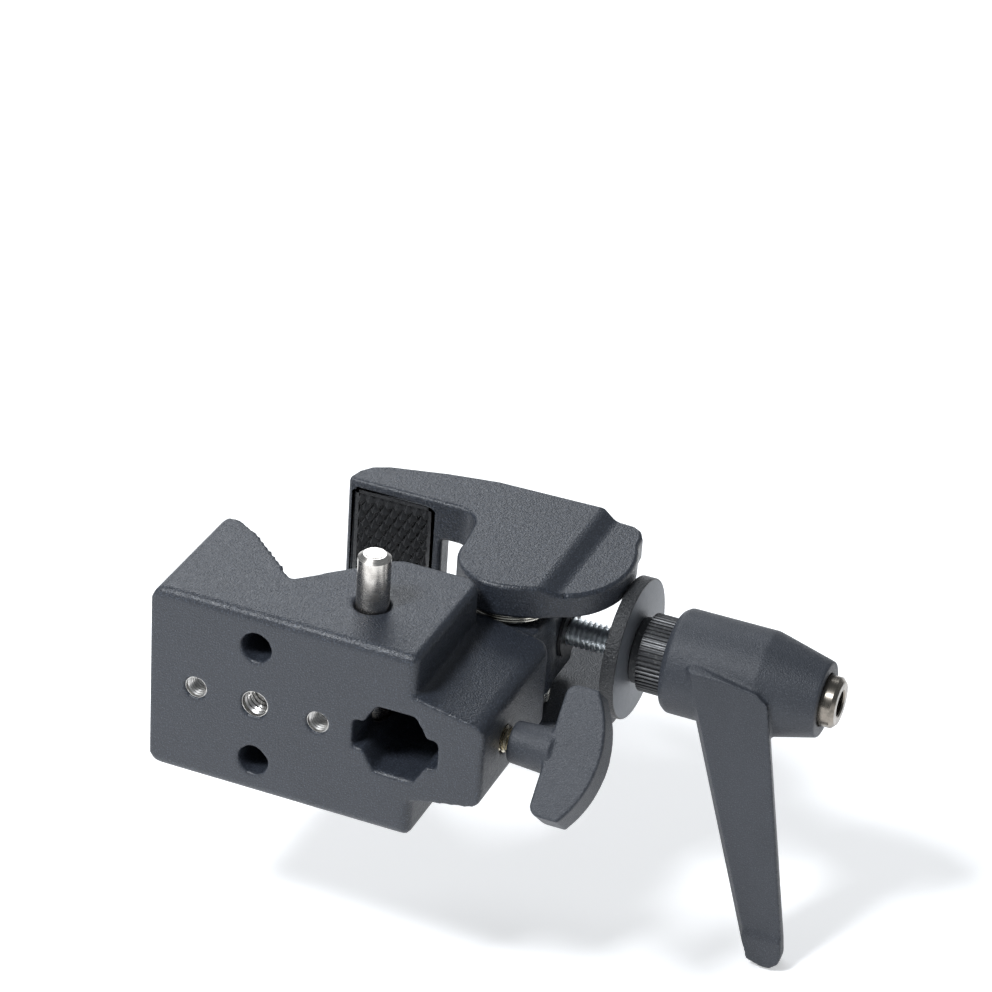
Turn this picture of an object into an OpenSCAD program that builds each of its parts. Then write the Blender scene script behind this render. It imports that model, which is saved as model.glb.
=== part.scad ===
// Super clamp: a fixed casting with a vee, a pivoting jaw closed by a screw with a ratchet lever,
// and a hexagonal stud socket with a sprung catch and a wing screw.
// Frame: +Z up along the jaw pivot, origin on the front face at the centre of the hexagonal socket,
// X along the clamp towards the lever, Y from the front face towards the jaw. Millimetres.

/* [Fixed casting] */
// Length of the tall block
block_l = 63.4; // [50:0.1:90]
// Height of the tall block
block_h = 46.5; // [36:0.1:60]
// Front face to the crest beside the vee
block_d = 35.8; // [30:0.1:50]
// Front face to the floor of the vee
vee_floor = 17.5; // [12:0.1:24]
// Rounding of the long front edges
front_r = 2; // [0.5:0.1:4]
// Rounding of the left end corners
end_r = 3.3; // [1:0.1:6]
// Left end of the block to the free end of the tongue
tongue_end = 79.5; // [72:0.1:100]
// Front to back depth of the tongue
tongue_d = 38.8; // [30:0.1:50]
// Half height of the tongue where it leaves the block
tongue_root = 13.3; // [10:0.1:18]
// Half height of the tongue at its free end
tongue_tip = 10.2; // [8:0.1:16]
// Half height of the boss round the pivot and the screw
boss_h = 10.4; // [8:0.1:12]

/* [Stud socket] */
// Left end of the block to the socket axis
socket_x = 59; // [50:0.1:70]
// Across flats of the socket
socket_af = 16.3; // [10:0.1:20]
// Depth of the socket
socket_depth = 31; // [20:0.5:34]
// Width of the two side slots of the socket
slot_w = 7; // [4:0.1:10]
// Distance over both slots
slot_span = 20; // [18:0.1:24]
// Front face to the axis of the wing screw
knob_y = 13.5; // [8:0.1:20]

/* [Front holes] */
// Thread diameter of the middle hole
mid_thread = 6.35; // [5:0.05:10]
// Thread diameter of the two outer holes
side_thread = 5; // [3:0.05:8]
// Diameter of the plain holes above and below the middle hole
plain_d = 7; // [4:0.1:9]
// Height of the plain holes from the middle
plain_z = 14.65; // [10:0.05:18]
// Left end to the middle hole
mid_x = 25.5; // [20:0.1:32]

/* [Moving jaw] */
// Left end of the block to the pivot axis
pivot_x = 64.5; // [58:0.1:72]
// Front face to the pivot axis
pivot_y = 50; // [44:0.1:60]
// Radius of the round lobes at the pivot
lobe_r = 12.3; // [10:0.1:16]
// Half height of the jaw
jaw_h = 22; // [18:0.1:28]
// Half height of the tail
tail_h = 20; // [16:0.1:24]
// Inner face of each lobe from the middle
lobe_in = 13.8; // [12:0.1:16]
// Front face to the pad side of the jaw
jaw_y = 65; // [55:0.1:75]
// Pivot pin diameter
pivot_d = 8; // [6:0.1:12]

/* [Clamp screw and lever] */
// Distance of the screw axis behind the pivot
screw_off = 11; // [8:0.1:14]
// Clamp screw diameter
screw_d = 6.8; // [5:0.1:10]
// Left end of the block to the pressure washer
washer_x = 89.1; // [86:0.1:94]
// Pressure washer diameter
washer_d = 33; // [26:0.1:40]
// Pressure washer thickness
washer_t = 3.4; // [2:0.1:5]
// Knurled collar diameter
collar_d = 18.2; // [14:0.1:22]
// Lever hub diameter
hub_d = 24.4; // [20:0.1:30]
// Reach of the lever arm below the screw axis
arm_reach = 67; // [50:0.5:90]

/* [Catch and wing screw] */
// Left end of the block to the catch pin
catch_x = 45.7; // [40:0.1:50]
// Front face to the catch pin
catch_y = 15.8; // [12:0.1:20]
// Catch pin diameter
catch_d = 7.4; // [5:0.1:9]
// Top of the catch pin above the middle of the clamp
catch_top = 36.1; // [28:0.1:42]
// Wing screw thread diameter
wing_thread = 6; // [4:0.1:8]
// Tilt of the wing from upright, about its own axis
wing_tilt = -43.6; // [-90:0.1:90]

/* [Hidden] */
$fn = 96;
e = 0.01;
screw_y = pivot_y + screw_off;
// front edge of the lobe between its round part and the tail
lobe_front = [[68.2, 38.3], [71, 39.1], [74.8, 40.8], [77.4, 42.3]];
side_in = 14.3;
side_out = 15.15;
casting = [0.20, 0.21, 0.22];
plastic = [0.26, 0.27, 0.28];
steel = [0.75, 0.75, 0.73];
rubber = [0.08, 0.08, 0.08];

// Everything below is drawn with x measured from the left end of the block.
module placed() { translate([-socket_x, 0, 0]) children(); }

// A cylinder along +X, starting at x = x0.
module rod_x(x0, len, d, y = 0, z = 0, d2 = -1) {
    translate([x0, y, z]) rotate([0, 90, 0]) cylinder(h = len, d1 = d, d2 = (d2 < 0 ? d : d2));
}

// A cylinder along +Y, starting at y = y0.
module rod_y(y0, len, d, x = 0, z = 0, d2 = -1) {
    translate([x, y0, z]) rotate([-90, 0, 0]) cylinder(h = len, d1 = d, d2 = (d2 < 0 ? d : d2));
}

// A cylinder along +Z, starting at z = z0.
module rod_z(z0, len, d, x = 0, y = 0, d2 = -1) {
    translate([x, y, z0]) cylinder(h = len, d1 = d, d2 = (d2 < 0 ? d : d2));
}

// Rectangle with four rounded corners, from its lower left to its upper right corner.
module soft_rect(x0, y0, x1, y1, r) {
    translate([x0 + r, y0]) square([x1 - x0 - 2 * r, y1 - y0]);
    translate([x0, y0 + r]) square([x1 - x0, y1 - y0 - 2 * r]);
    for (x = [x0 + r, x1 - r]) for (y = [y0 + r, y1 - r]) translate([x, y]) circle(r);
}

// Extrudes an X-Z outline from y0 to y1.
module along_y(y0, y1) {
    translate([0, y1, 0]) rotate([90, 0, 0]) linear_extrude(y1 - y0) children();
}

// Extrudes a Y-Z outline from x0 to x1.
module along_x(x0, x1) {
    translate([x0, 0, 0]) rotate([90, 0, 90]) linear_extrude(x1 - x0) children();
}

// Coils of round wire about Z, drawn as stacked rings.
module coils(r, wire, z0, z1, n) {
    step = (z1 - z0 - wire) / (n - 1);
    for (i = [0 : n - 1])
        translate([0, 0, z0 + wire / 2 + i * step])
            rotate_extrude() translate([r, 0]) circle(d = wire, $fn = 24);
}

// Plan outline of the tall block with the vee cut into its back.
module block_plan() {
    difference() {
        polygon([[0, 0], [block_l, 0], [block_l, block_d - 2.6], [block_l - 2.6, block_d],
            [44.4, block_d], [42.2, block_d - 1.1], [26.6, vee_floor + 0.6], [25.9, vee_floor],
            [24.9, vee_floor], [9.4, 31.4], [5, 34.2], [1.8, 34.9], [0.4, 34.2], [0, 32.6]]);
        translate([block_l - 2, -e]) square([2 + e, 2]);
    }
    translate([block_l - 2, 2]) circle(2);
    // teeth along the left flank
    for (i = [0 : 7])
        translate([9.4 + i * 1.6, 31.4 - i * 1.435]) rotate(-41.9)
            polygon([[0, -1], [2.15, -1], [2.15, 0], [1.1, 0.75], [0, 0]]);
}

// Half height outline of the tongue.
module tongue_side() {
    difference() {
        polygon([[55, -tongue_root], [block_l, -tongue_root], [tongue_end, -tongue_tip],
            [tongue_end, tongue_tip], [block_l, tongue_root], [55, tongue_root]]);
        for (s = [-1, 1]) difference() {
            translate([tongue_end - 2.2, s * (tongue_tip - 1)]) square([4.6, 3.4], center = true);
            translate([tongue_end - 2.6, s * (tongue_tip - 2.3)]) circle(2.6);
            translate([tongue_end - 5, s * (tongue_tip - 2.3) - 3]) square([2.4, 6]);
        }
    }
}

// Plan outline of the tongue with its rounded free corners.
module tongue_plan() {
    soft_rect(50, -4, tongue_end, tongue_d, 3.4);
}

// Two blocks joined: the block, the tongue and the boss that carries the pivot and the screw.
module body_solid() {
    intersection() {
        linear_extrude(block_h, center = true) block_plan();
        along_y(-1, block_d + 1) difference() {
            soft_rect(0, -block_h / 2, block_l + 12, block_h / 2, end_r);
            for (s = [-1, 1]) translate([block_l, s * block_h / 2]) rotate(45) square(1.6, center = true);
        }
        along_x(-1, block_l + 1) soft_rect(0, -block_h / 2, 60, block_h / 2, front_r);
    }
    intersection() {
        along_y(0, tongue_d) tongue_side();
        linear_extrude(40, center = true) tongue_plan();
        along_x(50, 90) soft_rect(0, -20, 80, 20, 0.6);
    }
    rod_z(-boss_h, 2 * boss_h, 22.4, pivot_x, pivot_y);
    intersection() {
        translate([53.5, 34, -boss_h]) cube([21.5, 33.4, 2 * boss_h]);
        linear_extrude(40, center = true) soft_rect(53.5, 30, 75, 67.4, 3);
    }
}

module body_casting() color(casting) placed() difference() {
    body_solid();
    // hexagonal socket with its two side slots
    translate([socket_x, socket_depth, 0]) rotate([90, 0, 0])
        cylinder(h = socket_depth + 1, d = socket_af / cos(30), $fn = 6);
    translate([socket_x - slot_span / 2, -1, -slot_w / 2]) cube([slot_span, socket_depth + 1, slot_w]);
    // middle insert pocket and its mouth
    rod_y(-1, 12, mid_thread + 0.04, mid_x);
    // outer insert pockets
    for (x = [mid_x - side_in, mid_x + side_out]) rod_y(-1, 10, side_thread + 0.24, x);
    // plain holes
    for (z = [-plain_z, plain_z]) rod_y(-1, 12, plain_d, mid_x, z);
    // catch bore: narrow above, wide below
    rod_z(0, 40, catch_d + 0.16, catch_x, catch_y);
    rod_z(-block_h / 2 - 1, block_h / 2 + 9.4, 10.8, catch_x, catch_y);
    // wider mouth of the catch bore
    rod_z(block_h / 2 - 1.5, 10, catch_d + 0.9, catch_x, catch_y);
    // wing screw thread, opening into the socket
    rod_x(socket_x, 30, wing_thread + 0.3, knob_y);
    // seats for the jaw springs
    for (z = [boss_h, -boss_h - 10]) rod_z(z, 10, 22.6, pivot_x, pivot_y);
    // pivot and clamp screw bores
    rod_z(-20, 40, pivot_d + 0.1, pivot_x, pivot_y);
    rod_x(50, 40, 11, screw_y);
}

// Plan of the jaw from the pad end to the step at the tail.
module jaw_plan() {
    polygon(concat([[17.6, jaw_y], [45.4, jaw_y], [48.2, jaw_y - 0.8], [50.2, jaw_y - 2.6],
        [51.1, jaw_y - 5], [52.2, pivot_y + 1], [pivot_x, pivot_y]], lobe_front,
        [[78.2, 79.9], [74.8, 81], [48.8, 80.4], [37.1, 78.3], [23.7, 74.7], [20, 72.7],
        [18, 69.6], [17.3, 66.5]]));
    translate([pivot_x, pivot_y]) circle(lobe_r);
}

// One point of the tail edge. The edge is an involute about the pivot, so the flat washer is
// moved in proportion to the turn of the jaw and always touches on the screw axis.
function cam_point(a) = [
    pivot_x + (washer_x - 0.1 - pivot_x - screw_off * a * PI / 180) * cos(a) + screw_off * sin(a),
    pivot_y - (washer_x - 0.1 - pivot_x - screw_off * a * PI / 180) * sin(a) + screw_off * cos(a)];

module tail_plan() {
    polygon(concat([[pivot_x, pivot_y], [70, 80.8], [74.8, 81], [78.2, 79.9], [82.8, 79.6], [84.9, 78.3],
        [86.2, 75.6]], [for (a = [-24 : 6 : 66]) cam_point(a)],
        [for (i = [len(lobe_front) - 1 : -1 : 0]) lobe_front[i]]));
}

// Upper half of the jaw; the lower half mirrors it.
module jaw_half() {
    translate([0, 0, lobe_in]) linear_extrude(jaw_h - lobe_in) intersection() {
        jaw_plan();
        translate([0, 20]) square([74.7, 80]);
    }
    // the sloping step down to the tail
    intersection() {
        translate([0, 0, lobe_in]) linear_extrude(20) {
            jaw_plan();
            tail_plan();
        }
        along_y(20, 100) polygon([[74.6, lobe_in], [78.2, lobe_in], [78.2, tail_h], [74.7, jaw_h],
            [74.6, jaw_h]]);
    }
    translate([0, 0, lobe_in]) linear_extrude(tail_h - lobe_in) tail_plan();
    // pad plate, closed at the left end and hollow behind
    linear_extrude(jaw_h) intersection() {
        jaw_plan();
        union() {
            translate([0, 20]) square([21.6, 80]);
            translate([0, 20]) square([41.2, 50.5]);
        }
    }
    // thicker root of the arm beside the pad
    translate([0, 0, 12]) linear_extrude(4) intersection() {
        jaw_plan();
        translate([20, 20]) square([30, 80]);
    }
}

module jaw_casting() color(casting) placed() difference() {
    union() {
        jaw_half();
        mirror([0, 0, 1]) jaw_half();
    }
    // recess for the pad
    along_y(jaw_y - 1, jaw_y + 2) soft_rect(19.1, -19.5, 38.4, 19.5, 0.6);
    // pivot bore, closed at the top
    rod_z(-30, 30 + jaw_h - 3, pivot_d + 0.06, pivot_x, pivot_y);
}

module jaw_pad() color(rubber) placed() difference() {
    along_y(jaw_y - 0.7, jaw_y + 1.95) soft_rect(19.15, -19.45, 38.35, 19.45, 0.6);
    // grooves that leave rows of blunt points
    for (i = [0 : 7]) translate([20.9 + i * 2.2, jaw_y - 0.7, 0]) rotate(45)
        cube([0.7, 0.7, 50], center = true);
    for (i = [-4 : 4]) translate([28, jaw_y - 0.7, i * 4.2]) rotate([45, 0, 0])
        cube([30, 0.7, 0.7], center = true);
}

module pivot_pin() color(steel) placed()
    rod_z(-jaw_h, 2 * jaw_h - 3.3, pivot_d, pivot_x, pivot_y);

module jaw_spring(z0) color(steel) placed() translate([pivot_x, pivot_y, 0]) {
    coils(10.3, 0.95, z0, z0 + 3, 3);
}

module jaw_spring_top() jaw_spring(boss_h + 0.25);

module jaw_spring_bottom() jaw_spring(-boss_h - 0.25 - 3);

module screw_bushing() color(steel) placed() difference() {
    union() {
        rod_x(53.5, 21.5, 10.98, screw_y);
        rod_x(75, 0.8, 12.6, screw_y);
    }
    rod_x(50, 40, screw_d + 0.1, screw_y);
}

module clamp_screw() color(steel) placed() union() {
    rod_x(58, 57, screw_d, screw_y);
    rod_x(115, 17, 5.6, screw_y);
    rod_x(57.2, 0.8, screw_d - 1.6, screw_y, 0, screw_d);
}

module pressure_washer() color(rubber) placed() difference() {
    union() {
        rod_x(washer_x, 0.3, washer_d - 0.6, screw_y, 0, washer_d);
        rod_x(washer_x + 0.3, washer_t - 0.6, washer_d, screw_y);
        rod_x(washer_x + washer_t - 0.3, 0.3, washer_d, screw_y, 0, washer_d - 0.6);
    }
    rod_x(washer_x - 1, washer_t + 2, screw_d + 0.4, screw_y);
}

module ratchet_collar() color([0.12, 0.12, 0.12]) placed() difference() {
    union() {
        rod_x(washer_x + washer_t + 0.1, 2.2, 15.4, screw_y);
        rod_x(94.7, 6.1, collar_d, screw_y);
        rod_x(100.8, 12, 14, screw_y);
    }
    rod_x(80, 60, screw_d, screw_y);
}

// Outline of the arm seen from the front.
module arm_outline() polygon([[106.8, 5.2], [108.6, 6.9], [112, 6.6], [124.6, 4.6], [127.2, 2.4],
    [137.2, 4.5 - arm_reach], [136.6, 1.8 - arm_reach], [134.6, 0.1 - arm_reach],
    [132.6, -arm_reach], [128.2, 1.4 - arm_reach], [127, 3.2 - arm_reach]]);

// The arm leaves the front of the hub, has a drafted right side and ends in a low lip.
module arm() {
    front = screw_y - hub_d / 2 - 0.2;
    difference() {
        intersection() {
            along_y(40, 70) arm_outline();
            translate([127.2, front, 0]) rotate([0, 0, 19]) translate([-127.2, -front, 0])
                along_y(20, 90) arm_outline();
            along_x(100, 140) polygon([[screw_y - 6, 9.4], [front + 3, 7.4], [front, 5.6],
                [front, 9.5 - arm_reach], [front - 0.7, 7.5 - arm_reach], [front - 0.7, -arm_reach],
                [front + 7, -arm_reach], [front + 9.4, 0], [front + 9.4, 9.4]]);
        }
        // bevel along the inner front edge
        translate([106.8, front, 5.2]) rotate([0, -16.4, 0]) rotate([0, 0, 45])
            cube([2.6, 2.6, 200], center = true);
    }
}

module lever_handle() color(plastic) placed() difference() {
    union() {
        // hub: short rounding, cylinder, cone
        rod_x(101.1, 1.4, hub_d - 2, screw_y, 0, hub_d);
        rod_x(102.5, 20.5, hub_d, screw_y);
        rod_x(123, 14, hub_d, screw_y, 0, 17.4);
        arm();
    }
    rod_x(100, 14, 14.12, screw_y);
    rod_x(113.9, 6.2, 7.2, screw_y);
    rod_x(120, 20, 12.2, screw_y);
}

module lever_spring() color(steel) placed()
    translate([126.4, screw_y, 0]) rotate([0, 90, 0]) coils(4.9, 1.2, 0, 7.3, 5);

module lever_end_screw() color([0.5, 0.46, 0.4]) placed() difference() {
    union() {
        rod_x(134, 5.6, 11.8, screw_y);
        rod_x(139.6, 0.8, 11.8, screw_y, 0, 10.2);
    }
    rod_x(120, 12.1 + 2, 5.6, screw_y);
    translate([137.2, screw_y, 0]) rotate([0, 90, 0]) cylinder(h = 9, d = 5 / cos(30), $fn = 6);
}

module catch_pin() color(steel) placed() translate([catch_x, catch_y, 0]) {
    rod_z(8.2, catch_top - 8.2 - 1, catch_d);
    rod_z(catch_top - 1, 1, catch_d, 0, 0, catch_d - 2);
    rod_z(-8, 16.2, 10.4);
}

module catch_spring() color(steel) placed() translate([catch_x, catch_y, 0])
    coils(3.9, 1, -19.3, -8.2, 5);

module catch_plug() color(steel) placed()
    rod_z(-block_h / 2 + 0.1, 3.5, 10.8, catch_x, catch_y);

module wing_knob() color(plastic) placed() translate([0, knob_y, 0]) difference() {
    union() {
        rod_x(81.3, 9.8, 9.4, 0, 0, 10.6);
        rotate([wing_tilt, 0, 0]) along_y(-4.5, 4.5) intersection() {
            soft_rect(90.3, -15, 106, 15, 2.6);
            translate([77, 0]) circle(25.3);
        }
    }
    rod_x(80, 12, wing_thread - 0.02);
}

module wing_stud() color([0.8, 0.7, 0.45]) placed()
    rod_x(68.4, 23.5, wing_thread, knob_y);

module stud_tip() color([0.8, 0.7, 0.45]) placed() {
    rod_x(66.2, 0.8, 3.4, knob_y, 0, 5);
    rod_x(67, 1.35, 5, knob_y);
}

// A threaded sleeve along +Y, open at the front.
module insert(x, d_out, d_in, len) {
    difference() {
        rod_y(0.5, len, d_out, x);
        rod_y(-1, len + 2, d_in, x);
    }
}

module middle_thread_insert() color(steel) placed()
    insert(mid_x, mid_thread, mid_thread - 0.9, 10.4);

module side_thread_inserts() color(steel) placed()
    for (x = [mid_x - side_in, mid_x + side_out]) insert(x, side_thread + 0.2, side_thread - 0.75, 8.4);

body_casting();
jaw_casting();
jaw_pad();
pivot_pin();
jaw_spring_top();
jaw_spring_bottom();
screw_bushing();
clamp_screw();
pressure_washer();
ratchet_collar();
lever_handle();
lever_spring();
lever_end_screw();
catch_pin();
catch_spring();
catch_plug();
wing_knob();
wing_stud();
stud_tip();
middle_thread_insert();
side_thread_inserts();
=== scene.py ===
import math

import bmesh
import bpy
from mathutils import Matrix, Vector


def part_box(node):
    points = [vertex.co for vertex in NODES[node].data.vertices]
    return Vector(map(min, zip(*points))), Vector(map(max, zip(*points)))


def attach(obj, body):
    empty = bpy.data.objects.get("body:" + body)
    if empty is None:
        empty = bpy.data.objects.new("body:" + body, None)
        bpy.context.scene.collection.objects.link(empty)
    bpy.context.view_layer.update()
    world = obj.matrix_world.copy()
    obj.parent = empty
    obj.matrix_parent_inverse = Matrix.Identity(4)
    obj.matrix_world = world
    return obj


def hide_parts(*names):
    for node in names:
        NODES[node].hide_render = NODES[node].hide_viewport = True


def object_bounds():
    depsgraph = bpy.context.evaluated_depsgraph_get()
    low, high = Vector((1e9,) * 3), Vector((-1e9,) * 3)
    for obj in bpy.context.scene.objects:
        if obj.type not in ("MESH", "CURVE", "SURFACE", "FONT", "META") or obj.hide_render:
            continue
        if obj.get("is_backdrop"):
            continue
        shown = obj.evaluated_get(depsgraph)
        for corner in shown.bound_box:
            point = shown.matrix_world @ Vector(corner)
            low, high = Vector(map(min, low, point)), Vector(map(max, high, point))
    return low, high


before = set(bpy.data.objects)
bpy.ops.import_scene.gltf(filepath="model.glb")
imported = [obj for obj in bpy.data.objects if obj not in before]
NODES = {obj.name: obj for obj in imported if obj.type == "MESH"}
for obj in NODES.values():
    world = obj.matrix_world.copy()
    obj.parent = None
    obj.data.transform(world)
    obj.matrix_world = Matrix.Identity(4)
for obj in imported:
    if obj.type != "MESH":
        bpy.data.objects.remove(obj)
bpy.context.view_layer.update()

MM = 0.001
AXIS_X = Vector((1, 0, 0))
AXIS_Y = Vector((0, 1, 0))
AXIS_Z = Vector((0, 0, 1))


# ---------------------------------------------------------------- paint

class Field:
    """A value that varies over a surface, so that shader maths reads as plain expressions."""

    def __init__(self, paint, socket):
        self.paint = paint
        self.socket = socket

    def __add__(self, other):
        return self.paint.math("ADD", self, other)

    def __sub__(self, other):
        return self.paint.math("SUBTRACT", self, other)

    def __rsub__(self, other):
        return self.paint.math("SUBTRACT", other, self)

    def __mul__(self, other):
        return self.paint.math("MULTIPLY", self, other)

    __radd__ = __add__
    __rmul__ = __mul__


class Paint:
    """A material under construction: one method per kind of question asked of a surface."""

    def __init__(self, name):
        self.material = bpy.data.materials.new(name)
        self.material.use_nodes = True
        self.tree = self.material.node_tree
        self.tree.nodes.clear()
        self.place = self.out("ShaderNodeTexCoord", "Object")

    def node(self, kind, settings=None, sockets=None):
        node = self.tree.nodes.new(kind)
        for name, value in (settings or {}).items():
            setattr(node, name, value)
        for name, value in (sockets or {}).items():
            if isinstance(value, Field):
                self.tree.links.new(value.socket, node.inputs[name])
            else:
                node.inputs[name].default_value = value
        return node

    def out(self, kind, output, settings=None, sockets=None):
        return Field(self, self.node(kind, settings, sockets).outputs[output])

    def math(self, operation, a, b):
        return self.out("ShaderNodeMath", 0, {"operation": operation}, {0: a, 1: b})

    def noise(self, size, detail=2.0, stretch=(1, 1, 1)):
        """Cloudy pattern whose patches are about size metres across."""
        where = self.out("ShaderNodeMapping", 0, None, {"Vector": self.place, "Scale": stretch})
        return self.out("ShaderNodeTexNoise", 0, None,
                        {"Vector": where, "Scale": 1 / size, "Detail": detail, "Roughness": 0.55})

    def cells(self, size):
        """Distance to the nearest of many points about size metres apart."""
        return self.out("ShaderNodeTexVoronoi", "Distance", None, {"Vector": self.place, "Scale": 1 / size})

    def along(self, axis):
        """One coordinate of the surface point, in metres."""
        return self.out("ShaderNodeSeparateXYZ", axis, None, {0: self.place})

    def step(self, value, low, high, to_low=0.0, to_high=1.0):
        """Rises from to_low to to_high while value goes from low to high."""
        return self.out("ShaderNodeMapRange", 0, {"clamp": True},
                        {0: value, 1: low, 2: high, 3: to_low, 4: to_high})

    def mix(self, mask, a, b):
        return self.out("ShaderNodeMix", 2, {"data_type": "RGBA"}, {0: mask, 6: a, 7: b})

    def bump(self, height, depth, strength=1.0):
        return self.out("ShaderNodeBump", 0, None,
                        {"Height": height, "Distance": depth, "Strength": strength})

    def finish(self, **sockets):
        names = {key: key.replace("_", " ") for key in sockets}
        shader = self.out("ShaderNodeBsdfPrincipled", 0, None,
                          {names[key]: value for key, value in sockets.items()})
        self.node("ShaderNodeOutputMaterial", None, {"Surface": shader})
        return self.material


def rgb(r, g, b):
    return (r, g, b, 1.0)


def powder_coat(name, dark, light, grain, rough):
    """Baked powder paint: fine orange peel, slow clouds and a few pale specks."""
    paint = Paint(name)
    clouds = paint.noise(14 * MM, 3)
    mottle = paint.noise(1.1 * MM, 3)
    peel = paint.noise(grain, 2)
    specks = paint.step(paint.cells(2.2 * MM), 0.16, 0.06)
    salt = paint.step(paint.noise(grain * 0.8, 1), 0.54, 0.68)
    tone = paint.mix(clouds * 0.45 + mottle * 0.55, dark, light)
    tone = paint.mix(salt * 0.7, tone, rgb(*[c * 2.2 for c in light[:3]]))
    tone = paint.mix(specks * paint.step(paint.noise(7 * MM), 0.56, 0.7) * 0.5, tone,
                     rgb(*[c * 3.5 for c in light[:3]]))
    return paint.finish(
        Base_Color=tone,
        Roughness=paint.step(mottle, 0.3, 0.7, rough - 0.05, rough + 0.07),
        Normal=paint.bump(peel + paint.noise(grain * 3, 1) * 0.35, grain * 0.4, 1.0),
        Specular_IOR_Level=0.5,
    )


def moulded_plastic(name):
    """Glass filled nylon: dry, fine grained, with faint flow marks."""
    paint = Paint(name)
    grain = paint.noise(0.35 * MM, 3)
    flow = paint.noise(9 * MM, 4, (1, 1, 0.35))
    tone = paint.mix(flow * 0.6 + grain * 0.4, rgb(0.018, 0.021, 0.027), rgb(0.040, 0.045, 0.056))
    fibre = paint.step(paint.cells(1.3 * MM), 0.13, 0.05)
    salt = paint.step(paint.noise(0.26 * MM, 1), 0.54, 0.68)
    tone = paint.mix(salt * 0.45, tone, rgb(0.09, 0.098, 0.115))
    tone = paint.mix(fibre * paint.step(paint.noise(5 * MM), 0.56, 0.66) * 0.4, tone, rgb(0.2, 0.205, 0.21))
    return paint.finish(
        Base_Color=tone,
        Roughness=paint.step(grain, 0.3, 0.7, 0.40, 0.52),
        Normal=paint.bump(grain + flow * 0.3, 0.17 * MM, 1.0),
        Specular_IOR_Level=0.45,
    )


def plated(name, colour, dull, rough, axis, lines=0.09 * MM, depth=0.004 * MM):
    """Plated or turned metal: tool lines round one axis, light stains, small bright variations."""
    paint = Paint(name)
    stretch = [0.02, 0.02, 0.02]
    stretch["XYZ".index(axis)] = 1.0
    turned = paint.noise(lines, 2, tuple(stretch))
    stain = paint.noise(2.5 * MM, 4)
    tone = paint.mix(paint.step(stain, 0.42, 0.68), colour, dull)
    return paint.finish(
        Base_Color=tone,
        Metallic=1.0,
        Roughness=paint.step(turned * 0.5 + stain * 0.5, 0.35, 0.65, rough - 0.05, rough + 0.08),
        Normal=paint.bump(turned, depth, 0.6),
    )


def blackened_steel(name, tone, rough, scuff):
    """Oxide black steel whose high spots show grey scuffs."""
    paint = Paint(name)
    wear = paint.noise(0.7 * MM, 4)
    broad = paint.noise(4 * MM, 3)
    mask = paint.step(wear * 0.7 + broad * 0.3, 0.53, 0.68)
    return paint.finish(
        Base_Color=paint.mix(mask * scuff, tone, rgb(0.34, 0.34, 0.33)),
        Metallic=paint.step(mask, 0.0, 1.0, 0.2, 0.2 + 0.5 * scuff),
        Roughness=paint.step(broad, 0.3, 0.7, rough - 0.06, rough + 0.08),
        Normal=paint.bump(wear, 0.04 * MM, 0.6),
    )


def washer_paint(name):
    """Thin black paint: smooth on the faces, chipped and rough round the punched rim."""
    paint = Paint(name)
    low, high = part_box("pressure_washer")
    centre = (low + high) / 2
    dy = paint.along(1) - centre.y
    dz = paint.along(2) - centre.z
    radius = paint.math("SQRT", dy * dy + dz * dz, 0.0)
    rim = paint.step(radius, (high.z - low.z) / 2 - 0.45 * MM, (high.z - low.z) / 2 - 0.1 * MM)
    chips = paint.noise(0.6 * MM, 4)
    broken = paint.step(chips, 0.66, 0.74) * rim
    face = paint.mix(paint.noise(3 * MM, 3), rgb(0.12, 0.13, 0.145), rgb(0.17, 0.18, 0.20))
    black = paint.mix(rim, face, rgb(0.018, 0.019, 0.021))
    return paint.finish(
        Base_Color=paint.mix(broken * 0.6, black, rgb(0.3, 0.3, 0.29)),
        Metallic=0.35 * (1 - rim),
        Roughness=0.36 + paint.noise(1.2 * MM, 3) * 0.12,
        Normal=paint.bump(chips * rim * 3 + paint.noise(0.4 * MM, 2) * 0.25, 0.14 * MM, 0.9),
    )


def pad_rubber(name):
    """Black rubber with a dry bloom and dust on the points."""
    paint = Paint(name)
    bloom = paint.noise(0.9 * MM, 3)
    dust = paint.noise(5 * MM, 4)
    tone = paint.mix(bloom * 0.5 + dust * 0.5, rgb(0.016, 0.016, 0.017), rgb(0.05, 0.051, 0.053))
    return paint.finish(
        Base_Color=tone,
        Roughness=paint.step(bloom, 0.3, 0.7, 0.22, 0.4),
        Normal=paint.bump(bloom, 0.05 * MM, 0.6),
        Coat_Weight=0.6,
        Coat_Roughness=0.22,
    )


CASTING = powder_coat("charcoal_powder_coat", rgb(0.011, 0.013, 0.018), rgb(0.027, 0.032, 0.042),
                      0.42 * MM, 0.37)
PLASTIC = moulded_plastic("grained_nylon")
NICKEL = plated("turned_nickel", rgb(0.66, 0.63, 0.59), rgb(0.46, 0.43, 0.40), 0.25, "Z")
SPRING_NICKEL = plated("spring_nickel", rgb(0.83, 0.80, 0.72), rgb(0.55, 0.52, 0.45), 0.2, "Z")
ZINC = plated("zinc_plate", rgb(0.86, 0.90, 0.92), rgb(0.66, 0.70, 0.72), 0.3, "X")
THREADS = plated("bare_thread", rgb(0.66, 0.65, 0.63), rgb(0.40, 0.39, 0.38), 0.3, "Y", 0.5 * MM, 0.0)
DARK_NICKEL = plated("dark_nickel", rgb(0.28, 0.25, 0.215), rgb(0.16, 0.145, 0.125), 0.24, "X")
BRASS = plated("pale_brass", rgb(0.78, 0.72, 0.58), rgb(0.5, 0.44, 0.32), 0.24, "X")
BLACK_STEEL = blackened_steel("blackened_steel", rgb(0.042, 0.043, 0.046), 0.40, 0.25)
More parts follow.
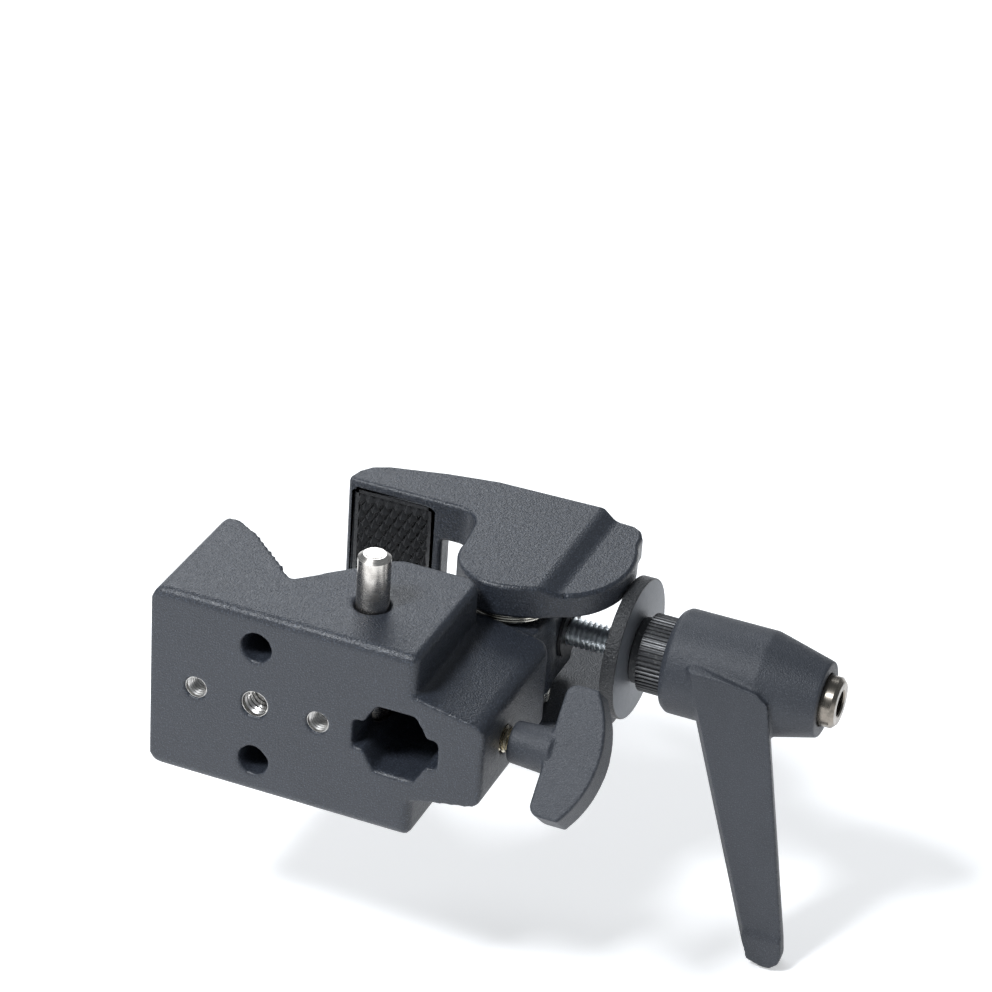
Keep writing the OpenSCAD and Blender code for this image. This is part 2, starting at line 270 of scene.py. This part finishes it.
BUSHING_STEEL = blackened_steel("oiled_steel", rgb(0.03, 0.03, 0.032), 0.45, 0.25)
WASHER_PAINT = washer_paint("chipped_black_paint")
RUBBER = pad_rubber("pad_rubber")


# ---------------------------------------------------------------- mesh tools

def piece(name, bm, material, body, replaced, smooth=35):
    """Turns a bmesh into a finished piece: smooth below the given angle, riding on its body."""
    mesh = bpy.data.meshes.new(name)
    bm.to_mesh(mesh)
    bm.free()
    obj = bpy.data.objects.new(name, mesh)
    bpy.context.scene.collection.objects.link(obj)
    mesh.materials.append(material)
    mesh.shade_smooth()
    mesh.set_sharp_from_angle(angle=math.radians(smooth))
    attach(obj, body)
    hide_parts(*replaced)
    return obj


def room(edge):
    """Width of the narrower face beside an edge."""
    return min(face.calc_area() for face in edge.link_faces) / edge.calc_length()


def weigh(bm, width, angle=24):
    """Marks each edge sharper than angle for rounding, by less where its faces are narrow."""
    weights = bm.edges.layers.float.new("bevel_weight_edge")
    for edge in bm.edges:
        if len(edge.link_faces) != 2 or edge.calc_face_angle(0) < math.radians(angle):
            continue
        edge[weights] = min(1.0, 0.35 * room(edge) / width)
    return bm


def rounded(obj, width, segments=3):
    """Rounds the marked edges."""
    bevel = obj.modifiers.new("rounding", "BEVEL")
    bevel.width = width
    bevel.segments = segments
    bevel.limit_method = "WEIGHT"
    bevel.miter_outer = "MITER_ARC"
    bevel.use_clamp_overlap = False
    normals = obj.modifiers.new("normals", "WEIGHTED_NORMAL")
    normals.keep_sharp = True
    return obj


def welded(node, gap=0.05 * MM):
    """The CAD node's shape as one closed mesh of large flat faces."""
    bm = bmesh.new()
    bm.from_mesh(NODES[node].data)
    bmesh.ops.remove_doubles(bm, verts=bm.verts, dist=gap)
    bmesh.ops.dissolve_limit(bm, angle_limit=math.radians(0.6), verts=bm.verts, edges=bm.edges)
    return bm


def turn(bm, outline, origin, axis, steps=96):
    """Spins an outline of (distance along the axis, radius) pairs right round the axis."""
    side = AXIS_Z if abs(axis.z) < 0.5 else AXIS_X
    verts = [bm.verts.new(origin + axis * a + side * r) for a, r in outline]
    edges = [bm.edges.new(pair) for pair in zip(verts, verts[1:])]
    bmesh.ops.spin(bm, geom=verts + edges, cent=origin, axis=axis, angle=math.tau, steps=steps, use_merge=True)
    bmesh.ops.remove_doubles(bm, verts=bm.verts, dist=0.002 * MM)
    return bm


def helix(bm, ring, origin, axis, pitch, turns, steps=40):
    """Sweeps a chain or loop of vertices round the axis, rising by pitch each turn."""
    verts = [bm.verts.new(p) for p in ring["points"]]
    pairs = list(zip(verts, verts[1:]))
    if ring["closed"]:
        pairs.append((verts[-1], verts[0]))
    edges = [bm.edges.new(pair) for pair in pairs]
    count = round(steps * turns)
    done = bmesh.ops.spin(bm, geom=verts + edges, cent=origin, axis=axis, dvec=axis * (pitch / steps),
                          angle=math.tau * turns, steps=count, use_merge=False)
    if ring["closed"]:
        last = [e for e in done["geom_last"] if isinstance(e, bmesh.types.BMEdge)]
        bmesh.ops.contextual_create(bm, geom=edges)
        bmesh.ops.contextual_create(bm, geom=last)
    bmesh.ops.remove_doubles(bm, verts=bm.verts, dist=0.001 * MM)
    return bm


def thread(bm, origin, axis, start, length, crest, root, pitch):
    """A screw thread with flattened crests, from start for length along the axis."""
    side = AXIS_Z
    shape = [(0.0, root), (0.12, root), (0.44, crest), (0.62, crest), (0.94, root), (1.0, root)]
    points = [origin + axis * (start + a * pitch) + side * r for a, r in shape]
    turns = length / pitch - 1
    return helix(bm, {"points": points, "closed": False}, origin, axis, pitch, turns)


def coil(bm, origin, axis, start, length, radius, wire, turns):
    """A coil spring of round wire."""
    side = AXIS_Z if abs(axis.z) < 0.5 else AXIS_X
    centre = origin + axis * (start + wire / 2) + side * radius
    points = [centre + (axis * math.sin(t) + side * math.cos(t)) * wire / 2
              for t in (math.tau * k / 12 for k in range(12))]
    pitch = (length - wire) / turns
    return helix(bm, {"points": points, "closed": True}, origin, axis, pitch, turns, 48)


def outward(bm):
    bmesh.ops.recalc_face_normals(bm, faces=bm.faces)
    return bm


def middle(node):
    low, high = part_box(node)
    return (low + high) / 2


# ---------------------------------------------------------------- castings and mouldings

def softened(name, node, material, body, voxel, passes):
    """The CAD node's shape with every edge and inner corner softened, as a mould leaves it."""
    obj = piece(name, welded(node, 0.004 * MM), material, body, [node], 180)
    remesh = obj.modifiers.new("skin", "REMESH")
    remesh.mode = "VOXEL"
    remesh.voxel_size = voxel
    remesh.use_smooth_shade = True
    smooth = obj.modifiers.new("soften", "SMOOTH")
    smooth.factor = 0.5
    smooth.iterations = passes
    return obj


# The last two numbers are the size of the skin's cells and how many times it is smoothed.
softened("body_casting_painted", "body_casting", CASTING, "body", 0.54 * MM, 9)
softened("lever_moulding", "lever_handle", PLASTIC, "lever", 0.34 * MM, 7)
softened("wing_knob_moulding", "wing_knob", PLASTIC, "wing", 0.3 * MM, 16)

JAW_ROUNDING = 0.9 * MM
jaw_mesh = weigh(welded("jaw_casting", 0.15 * MM), JAW_ROUNDING)
rounded(piece("jaw_casting_painted", jaw_mesh, CASTING, "jaw", ["jaw_casting"], 22), JAW_ROUNDING)


# ---------------------------------------------------------------- jaw pad

def jaw_pad():
    """A slab with rows of upright diamond points, each row shifted by half a diamond."""
    low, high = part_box("jaw_pad")
    wide, tall, point = 2.35 * MM, 4.2 * MM, 1.5 * MM
    skin = low.y + point
    bm = bmesh.new()
    size = Vector((high.x - low.x, high.y - skin, high.z - low.z))
    centre = Vector((low.x + size.x / 2, skin + size.y / 2, low.z + size.z / 2))
    bmesh.ops.create_cube(bm, size=1, matrix=Matrix.Translation(centre) @ Matrix.Diagonal(size.to_4d()))
    bmesh.ops.bevel(bm, geom=bm.edges[:], offset=0.3 * MM, affect="EDGES", segments=2, profile=0.5, material=-1)
    columns = int((size.x - wide) / wide)
    rows = int((size.z - tall) / tall * 2)
    for row in range(rows + 1):
        shift = (row % 2) * 0.5
        for column in range(columns + 1 - row % 2):
            x = centre.x + (column + shift - columns / 2) * wide
            z = centre.z + (row - rows / 2) * tall / 2
            place = Matrix.Translation((x, skin - point / 2 + 0.02 * MM, z))
            lie = Matrix.Rotation(math.pi / 2, 4, "X") @ Matrix.Diagonal((wide / 2, tall / 2, 1, 1))
            bmesh.ops.create_cone(bm, cap_ends=False, segments=4, radius1=1.0, radius2=0.06,
                                  depth=point, matrix=place @ lie)
    frame_bar(bm, low, high, skin)
    return outward(bm)


def frame_bar(bm, low, high, skin):
    """The plain raised border round the diamonds."""
    bar = 0.9 * MM
    proud = 0.5 * MM
    for x in (low.x + bar / 2, high.x - bar / 2):
        size = Vector((bar, 2 * proud, high.z - low.z))
        centre = Vector((x, skin, (low.z + high.z) / 2))
        bmesh.ops.create_cube(bm, size=1, matrix=Matrix.Translation(centre) @ Matrix.Diagonal(size.to_4d()))
    for z in (low.z + bar / 2, high.z - bar / 2):
        size = Vector((high.x - low.x, 2 * proud, bar))
        centre = Vector(((low.x + high.x) / 2, skin, z))
        bmesh.ops.create_cube(bm, size=1, matrix=Matrix.Translation(centre) @ Matrix.Diagonal(size.to_4d()))


piece("jaw_pad_diamonds", jaw_pad(), RUBBER, "jaw", ["jaw_pad"], 20)


# ---------------------------------------------------------------- springs

def torsion_spring(node):
    low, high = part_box(node)
    centre = middle(node)
    wire = 0.95 * MM
    base = Vector((centre.x, centre.y, low.z))
    radius = (high.x - low.x - wire) / 2
    return outward(coil(bmesh.new(), base, AXIS_Z, 0, high.z - low.z, radius, wire, 3))


for spring in ("jaw_spring_top", "jaw_spring_bottom"):
    piece(spring + "_coil", torsion_spring(spring), SPRING_NICKEL, "body", [spring], 60)


def push_spring(node, axis, wire, turns):
    low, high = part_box(node)
    centre = middle(node)
    across = AXIS_Z if axis.z == 0 else AXIS_X
    length = (high - low).dot(axis)
    radius = ((high - low).dot(across) - wire) / 2
    base = centre - axis * (length / 2)
    return outward(coil(bmesh.new(), base, axis, 0, length, radius, wire, turns))


piece("lever_spring_coil", push_spring("lever_spring", AXIS_X, 1.2 * MM, 5), SPRING_NICKEL,
      "lever_turn", ["lever_spring"], 60)


# ---------------------------------------------------------------- screw and its fittings

def clamp_screw():
    """Threaded rod with a plain nose and a slimmer inner end that the end screw grips."""
    low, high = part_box("clamp_screw")
    centre = middle("clamp_screw")
    origin = Vector((low.x, centre.y, centre.z))
    crest = (high.z - low.z) / 2
    root = crest - 0.62 * MM
    pitch = 1.27 * MM
    length = high.x - low.x
    threaded, shoulder, inner_end = 46 * MM, 57.8 * MM, 2.8 * MM
    bm = bmesh.new()
    core = [(0, 0), (0, root - 0.3 * MM), (0.5 * MM, root), (threaded, root), (threaded, crest),
            (shoulder, crest), (shoulder, inner_end), (length, inner_end), (length, 0)]
    turn(bm, core, origin, AXIS_X, 64)
    thread(bm, origin, AXIS_X, 0.6 * MM, 45 * MM, crest, root - 0.01 * MM, pitch)
    return outward(bm)


piece("clamp_screw_thread", clamp_screw(), ZINC, "screw", ["clamp_screw"], 25)


def pressure_washer():
    low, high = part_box("pressure_washer")
    centre = middle("pressure_washer")
    origin = Vector((low.x, centre.y, centre.z))
    thick = high.x - low.x
    rim = (high.z - low.z) / 2
    bore = 3.6 * MM
    soft = 0.35 * MM
    outline = [(0, bore), (0, rim - soft), (0.1 * MM, rim - 0.1 * MM), (soft, rim), (thick * 0.5, rim),
               (thick - soft, rim), (thick - 0.1 * MM, rim - 0.1 * MM), (thick, rim - soft),
               (thick, bore), (0, bore)]
    return outward(turn(bmesh.new(), outline, origin, AXIS_X, 128))


piece("pressure_washer_disc", pressure_washer(), WASHER_PAINT, "carriage", ["pressure_washer"],
      40)


def ratchet_collar():
    """Flange, knurled barrel and the stub inside the lever."""
    low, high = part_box("ratchet_collar")
    centre = middle("ratchet_collar")
    origin = Vector((low.x, centre.y, centre.z))
    outer = (high.z - low.z) / 2
    start, stop = 2.1 * MM, 8.2 * MM
    bore = 3.42 * MM
    flange, stub = 7.7 * MM, 7 * MM
    inner = outer - 0.55 * MM
    length = high.x - low.x
    bm = bmesh.new()
    outline = [(0, bore), (0, 7.4 * MM), (0.3 * MM, flange), (start, flange), (start, inner),
               (stop, inner), (stop, stub), (length, stub), (length, bore), (0, bore)]
    turn(bm, outline, origin, AXIS_X, 96)
    ribs = 52
    half = 0.3 * MM
    for index in range(ribs):
        size = Vector((stop - start - 0.1 * MM, 2 * half, outer - inner + 0.25 * MM))
        spot = Vector(((start + stop) / 2, 0, (outer + inner) / 2 - 0.12 * MM))
        about = Matrix.Translation(origin) @ Matrix.Rotation(math.tau * index / ribs, 4, "X")
        made = bmesh.ops.create_cube(bm, size=1, matrix=about @ Matrix.Translation(spot)
                                     @ Matrix.Diagonal(size.to_4d()))
        edges = list({e for v in made["verts"] for e in v.link_edges})
        bmesh.ops.bevel(bm, geom=edges, offset=0.16 * MM, affect="EDGES", segments=1, profile=0.5, material=-1)
    return outward(bm)


piece("ratchet_collar_knurl", ratchet_collar(), BLACK_STEEL, "screw", ["ratchet_collar"], 25)


def end_screw():
    """Cheese head with a bevelled face and a hexagonal recess."""
    low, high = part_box("lever_end_screw")
    centre = middle("lever_end_screw")
    origin = Vector((low.x, centre.y, centre.z))
    radius = (high.z - low.z) / 2
    length = high.x - low.x
    depth = 3 * MM
    shank = 2.85 * MM
    key = 2.5 * MM / math.cos(math.pi / 6)
    bm = bmesh.new()
    outline = [(0, shank), (0, radius - 0.2 * MM), (0.2 * MM, radius), (length - 0.9 * MM, radius),
               (length - 0.15 * MM, radius - 0.75 * MM), (length, radius - 0.95 * MM),
               (length, key + 0.35 * MM), (length - 0.35 * MM, key)]
    turn(bm, outline, origin, AXIS_X, 96)
    turn(bm, [(length - 0.35 * MM, key), (length - depth, key), (length - depth - 0.6 * MM, 0)],
         origin, AXIS_X, 6)
    turn(bm, [(0, shank), (2 * MM, shank), (2 * MM, 0)], origin, AXIS_X, 96)
    return outward(bm)


piece("lever_end_screw_head", end_screw(), DARK_NICKEL, "screw", ["lever_end_screw"], 30)


# ---------------------------------------------------------------- catch pin

def catch_pin():
    """Plunger with a bevelled, ring-turned end and a wide foot inside the block."""
    low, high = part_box("catch_pin")
    centre = middle("catch_pin")
    origin = Vector((centre.x, centre.y, low.z))
    foot = (high.x - low.x) / 2
    stem = 3.7 * MM
    shoulder = 16.2 * MM
    top = high.z - low.z
    outline = [(0, 0), (0, foot - 0.4 * MM), (0.4 * MM, foot), (15.8 * MM, foot), (shoulder, foot - 0.4 * MM),
               (shoulder, stem), (top - 1.05 * MM, stem), (top - 0.25 * MM, stem - 0.95 * MM),
               (top - 0.1 * MM, stem - 1.15 * MM), (top - 0.1 * MM, stem - 1.5 * MM), (top, stem - 1.65 * MM),
               (top - 0.06 * MM, stem - 2.3 * MM), (top - 0.02 * MM, stem - 2.9 * MM), (top - 0.12 * MM, 0)]
    return outward(turn(bmesh.new(), outline, origin, AXIS_Z, 96))


piece("catch_pin_turned", catch_pin(), NICKEL, "catch", ["catch_pin"], 24)


# ---------------------------------------------------------------- wing screw and front threads

def wing_stud():
    low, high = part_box("wing_stud")
    centre = middle("wing_stud")
    origin = Vector((low.x, centre.y, centre.z))
    crest = (high.z - low.z) / 2
    root = crest - 0.5 * MM
    length = high.x - low.x
    bm = bmesh.new()
    turn(bm, [(0, 0), (0, root), (length, root), (length, 0)], origin, AXIS_X, 64)
    thread(bm, origin, AXIS_X, 0.3 * MM, length - 0.8 * MM, crest, root - 0.01 * MM, 1.0 * MM)
    return outward(bm)


piece("wing_stud_thread", wing_stud(), BRASS, "wing", ["wing_stud"], 25)


def inner_thread(bm, x, z, mouth, bottom, outer, inner, pitch):
    """A threaded sleeve seen from its open front end."""
    origin = Vector((x, mouth, z))
    deep = bottom - mouth
    root = outer - 0.12 * MM
    turn(bm, [(0, root), (0, outer), (deep, outer), (deep, 0)], origin, AXIS_Y, 64)
    turn(bm, [(0.02 * MM, root), (deep - 0.02 * MM, root)], origin, AXIS_Y, 64)
    thread(bm, origin, AXIS_Y, 0.15 * MM, deep - pitch * 0.5, inner, root + 0.01 * MM, pitch)
    return bm


def middle_insert():
    low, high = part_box("middle_thread_insert")
    centre = middle("middle_thread_insert")
    outer = (high.z - low.z) / 2
    bm = inner_thread(bmesh.new(), centre.x, centre.z, low.y, high.y, outer, outer - 0.5 * MM, 1.27 * MM)
    return outward(bm)


def side_inserts():
    low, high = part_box("side_thread_inserts")
    outer = (high.z - low.z) / 2
    bm = bmesh.new()
    for x in (low.x + outer, high.x - outer):
        inner_thread(bm, x, (low.z + high.z) / 2, low.y, high.y, outer, outer - 0.45 * MM, 0.8 * MM)
    return outward(bm)


piece("middle_thread_turns", middle_insert(), THREADS, "body", ["middle_thread_insert"], 25)
piece("side_thread_turns", side_inserts(), THREADS, "body", ["side_thread_inserts"], 25)


# ---------------------------------------------------------------- nodes kept from the CAD

KEPT = {
    "pivot_pin": NICKEL,
    "screw_bushing": BUSHING_STEEL,
    "catch_spring": SPRING_NICKEL,
    "catch_plug": NICKEL,
    "stud_tip": BRASS,
}
for node, material in KEPT.items():
    NODES[node].data.materials.clear()
    NODES[node].data.materials.append(material)


# ---------------------------------------------------------------- floor, light and camera

def stage():
    """A wide pale floor just under the lowest point."""
    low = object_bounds()[0]
    bm = bmesh.new()
    bmesh.ops.create_grid(bm, x_segments=1, y_segments=1, size=6,
                          matrix=Matrix.Translation((0, 0, low[2] - 0.5 * MM)))
    mesh = bpy.data.meshes.new("floor")
    bm.to_mesh(mesh)
    bm.free()
    floor = bpy.data.objects.new("floor", mesh)
    bpy.context.scene.collection.objects.link(floor)
    paint = Paint("pale_floor")
    mesh.materials.append(paint.finish(
        Base_Color=paint.mix(paint.noise(0.3, 2), rgb(0.90, 0.90, 0.90), rgb(0.93, 0.93, 0.93)),
        Roughness=0.85, Emission_Color=rgb(1, 1, 1), Emission_Strength=0.44))
    floor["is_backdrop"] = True


def softbox(name, place, aim, size, power, tint=(1, 1, 1)):
    light = bpy.data.lights.new(name, "AREA")
    light.shape = "RECTANGLE"
    light.size, light.size_y = size
    light.energy = power
    light.color = tint
    lamp = bpy.data.objects.new(name, light)
    lamp.location = place
    lamp.rotation_euler = (Vector(aim) - Vector(place)).to_track_quat("-Z", "Y").to_euler()
    bpy.context.scene.collection.objects.link(lamp)


def lights():
    target = (0.01, 0.03, 0)
    softbox("back_box", (-0.65, 0.9, 0.75), target, (0.9, 0.5), 7.2, (0.93, 0.96, 1.0))
    softbox("top_box", (-0.28, -0.45, 0.78), target, (0.2, 0.2), 9.5, (0.93, 0.96, 1.0))
    softbox("front_box", (-0.6, -0.7, 0.25), target, (0.5, 0.5), 0.8)
    world = bpy.data.worlds.new("studio")
    world.use_nodes = True
    world.node_tree.nodes["Background"].inputs["Color"].default_value = (0.88, 0.94, 1.0, 1)
    world.node_tree.nodes["Background"].inputs["Strength"].default_value = 0.24
    bpy.context.scene.world = world


def camera():
    """Looks from the front right and above, rolled slightly, from about 0.8 m."""
    place = (0.24716, -0.59998, 0.43990)
    focal_length, film_width = 131.79, 36
    azimuth = math.radians(20.775)
    elevation = math.radians(30.12)
    roll = math.radians(3.879)
    ahead = Vector((-math.sin(azimuth) * math.cos(elevation), math.cos(azimuth) * math.cos(elevation),
                    -math.sin(elevation)))
    right = Vector((math.cos(azimuth), math.sin(azimuth), 0))
    upward = right.cross(ahead)
    right, upward = (right * math.cos(roll) + upward * math.sin(roll),
                     upward * math.cos(roll) - right * math.sin(roll))
    lens = bpy.data.cameras.new("camera")
    lens.sensor_width = film_width
    lens.lens = focal_length
    lens.clip_start = 0.05
    lens.clip_end = 30
    eye = bpy.data.objects.new("camera", lens)
    eye.matrix_world = Matrix((right, upward, -ahead)).transposed().to_4x4()
    eye.location = place
    bpy.context.scene.collection.objects.link(eye)
    bpy.context.scene.camera = eye


stage()
lights()
camera()

bpy.context.scene.view_settings.view_transform = "Standard"
